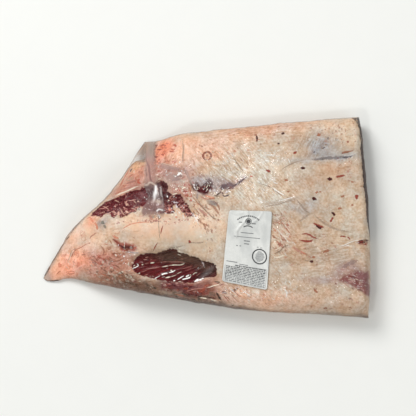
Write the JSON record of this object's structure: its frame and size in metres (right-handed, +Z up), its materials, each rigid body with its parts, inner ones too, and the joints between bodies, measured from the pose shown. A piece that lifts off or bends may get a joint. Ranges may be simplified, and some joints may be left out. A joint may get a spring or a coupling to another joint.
{
  "type": "vacuum-sealed raw beef brisket",
  "caption": "Whole raw beef brisket with its fat cap up, vacuum-sealed in a clear bag, with a white paper label stuck on top; lies flat.",
  "frame": {"origin": "on the floor, under the middle of the pack's box", "axes": "+X from the pointed end to the square end, +Y across the pack towards the side with the empty bag corner, +Z up"},
  "size_m": [0.464, 0.2819, 0.0766],
  "materials": {
    "packed_beef": "glossy clear film drawn tight over cream fat and dark red lean",
    "beef": "moist raw beef: cream to peach fat cap, dark red marbled lean, blood spots",
    "clear_film": "clear, crinkled, glossy vacuum film",
    "label_paper": "white coated label paper, slightly wrinkled, with plain grey marks"
  },
  "bodies": {
    "root": {"sealed_brisket": "packed_beef", "label": "label_paper"}
  },
  "joints": []
}
